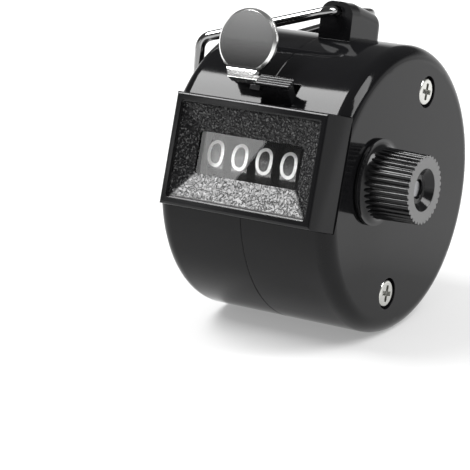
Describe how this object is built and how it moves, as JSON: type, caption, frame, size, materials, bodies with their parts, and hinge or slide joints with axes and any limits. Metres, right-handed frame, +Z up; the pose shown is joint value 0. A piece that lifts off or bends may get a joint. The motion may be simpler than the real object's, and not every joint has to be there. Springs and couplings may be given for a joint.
{
  "type": "mechanical tally counter",
  "caption": "Round black hand tally counter with a squared window over number wheels, a ribbed reset knob, a steel thumb plate on a pivoting lever and a hinged wire finger ring.",
  "frame": {"origin": "on the ground plane, below the middle of the whole outline, standing on the drum's curved side", "axes": "+X to the reset knob along the drum's axis, +Y to the back, +Z up; the window faces -Y and 17.9 degrees up"},
  "size_m": [0.042, 0.047, 0.0511],
  "materials": {
    "shell_black": "glossy moulded black plastic",
    "bezel_black": "moulded black plastic, glossy rim and grained slopes",
    "lens_clear": "clear polished plastic",
    "screw_nickel": "nickel-plated steel",
    "knob_black": "satin moulded black plastic",
    "shaft_steel": "ground steel rod",
    "wheel_black": "matte black with white printed figures",
    "lever_black": "satin moulded black plastic",
    "plate_steel": "polished steel sheet",
    "ring_chrome": "chromed steel wire",
    "frame_steel": "plain steel sheet",
    "bush_brass": "turned brass",
    "spring_steel": "blued spring steel"
  },
  "bodies": {
    "case": {"left_shell": "shell_black", "right_shell": "shell_black", "front_bezel": "bezel_black", "window_lens": "lens_clear", "case_screws": "screw_nickel", "movement_frame": "frame_steel", "shaft_bush": "bush_brass", "holding_comb": "spring_steel", "comb_screws": "screw_nickel", "lever_pin": "shaft_steel", "lever_spring": "spring_steel", "home_spring": "spring_steel", "home_rivet": "frame_steel"},
    "spindle": {"reset_shaft": "shaft_steel", "reset_knob": "knob_black", "shaft_clip": "spring_steel", "home_cam": "bush_brass", "stack_washer": "frame_steel"},
    "lever": {"thumb_lever": "lever_black", "thumb_plate": "plate_steel", "drive_comb": "spring_steel", "comb_rivets": "frame_steel"},
    "ring": {"finger_ring": "ring_chrome"},
    "thousands": {"thousands_wheel": "wheel_black", "thousands_leaf": "spring_steel"},
    "hundreds": {"hundreds_wheel": "wheel_black", "hundreds_leaf": "spring_steel"},
    "tens": {"tens_wheel": "wheel_black", "tens_leaf": "spring_steel"},
    "units": {"units_wheel": "wheel_black", "units_leaf": "spring_steel"}
  },
  "joints": [
    {"name": "reset_turn", "type": "hinge", "parent": "case", "child": "spindle", "pos_m": [-0.00285, -0.0078, 0.02613], "axis": [1, 0, 0], "continuous": true, "deforming": ["home_spring"]},
    {"name": "lever_press", "type": "hinge", "parent": "case", "child": "lever", "pos_m": [-0.00285, -0.01435, 0.03482], "axis": [-1, 0, 0], "range_deg": [0, 14.4], "stiffness_Nm_per_rad": 0.12, "springref_deg": -8.59, "deforming": ["drive_comb", "lever_spring"]},
    {"name": "units_turn", "type": "hinge", "parent": "spindle", "child": "units", "pos_m": [-0.00285, -0.0078, 0.02613], "axis": [-1, 0, 0], "range_deg": [0, 36], "deforming": ["units_leaf", "holding_comb"]},
    {"name": "tens_turn", "type": "hinge", "parent": "spindle", "child": "tens", "pos_m": [-0.00285, -0.0078, 0.02613], "axis": [-1, 0, 0], "continuous": true, "deforming": ["tens_leaf"]},
    {"name": "hundreds_turn", "type": "hinge", "parent": "spindle", "child": "hundreds", "pos_m": [-0.00285, -0.0078, 0.02613], "axis": [-1, 0, 0], "continuous": true, "deforming": ["hundreds_leaf"]},
    {"name": "thousands_turn", "type": "hinge", "parent": "spindle", "child": "thousands", "pos_m": [-0.00285, -0.0078, 0.02613], "axis": [-1, 0, 0], "continuous": true, "deforming": ["thousands_leaf"]},
    {"name": "ring_swing", "type": "hinge", "parent": "case", "child": "ring", "pos_m": [-0.00003, 0.00618, 0.04839], "axis": [0, 0.9806, -0.1959], "range_deg": [0, 216]}
  ],
  "couplings": [
    {"joint": "units_turn", "follows": "lever_press", "ratio": 2.5}
  ]
}
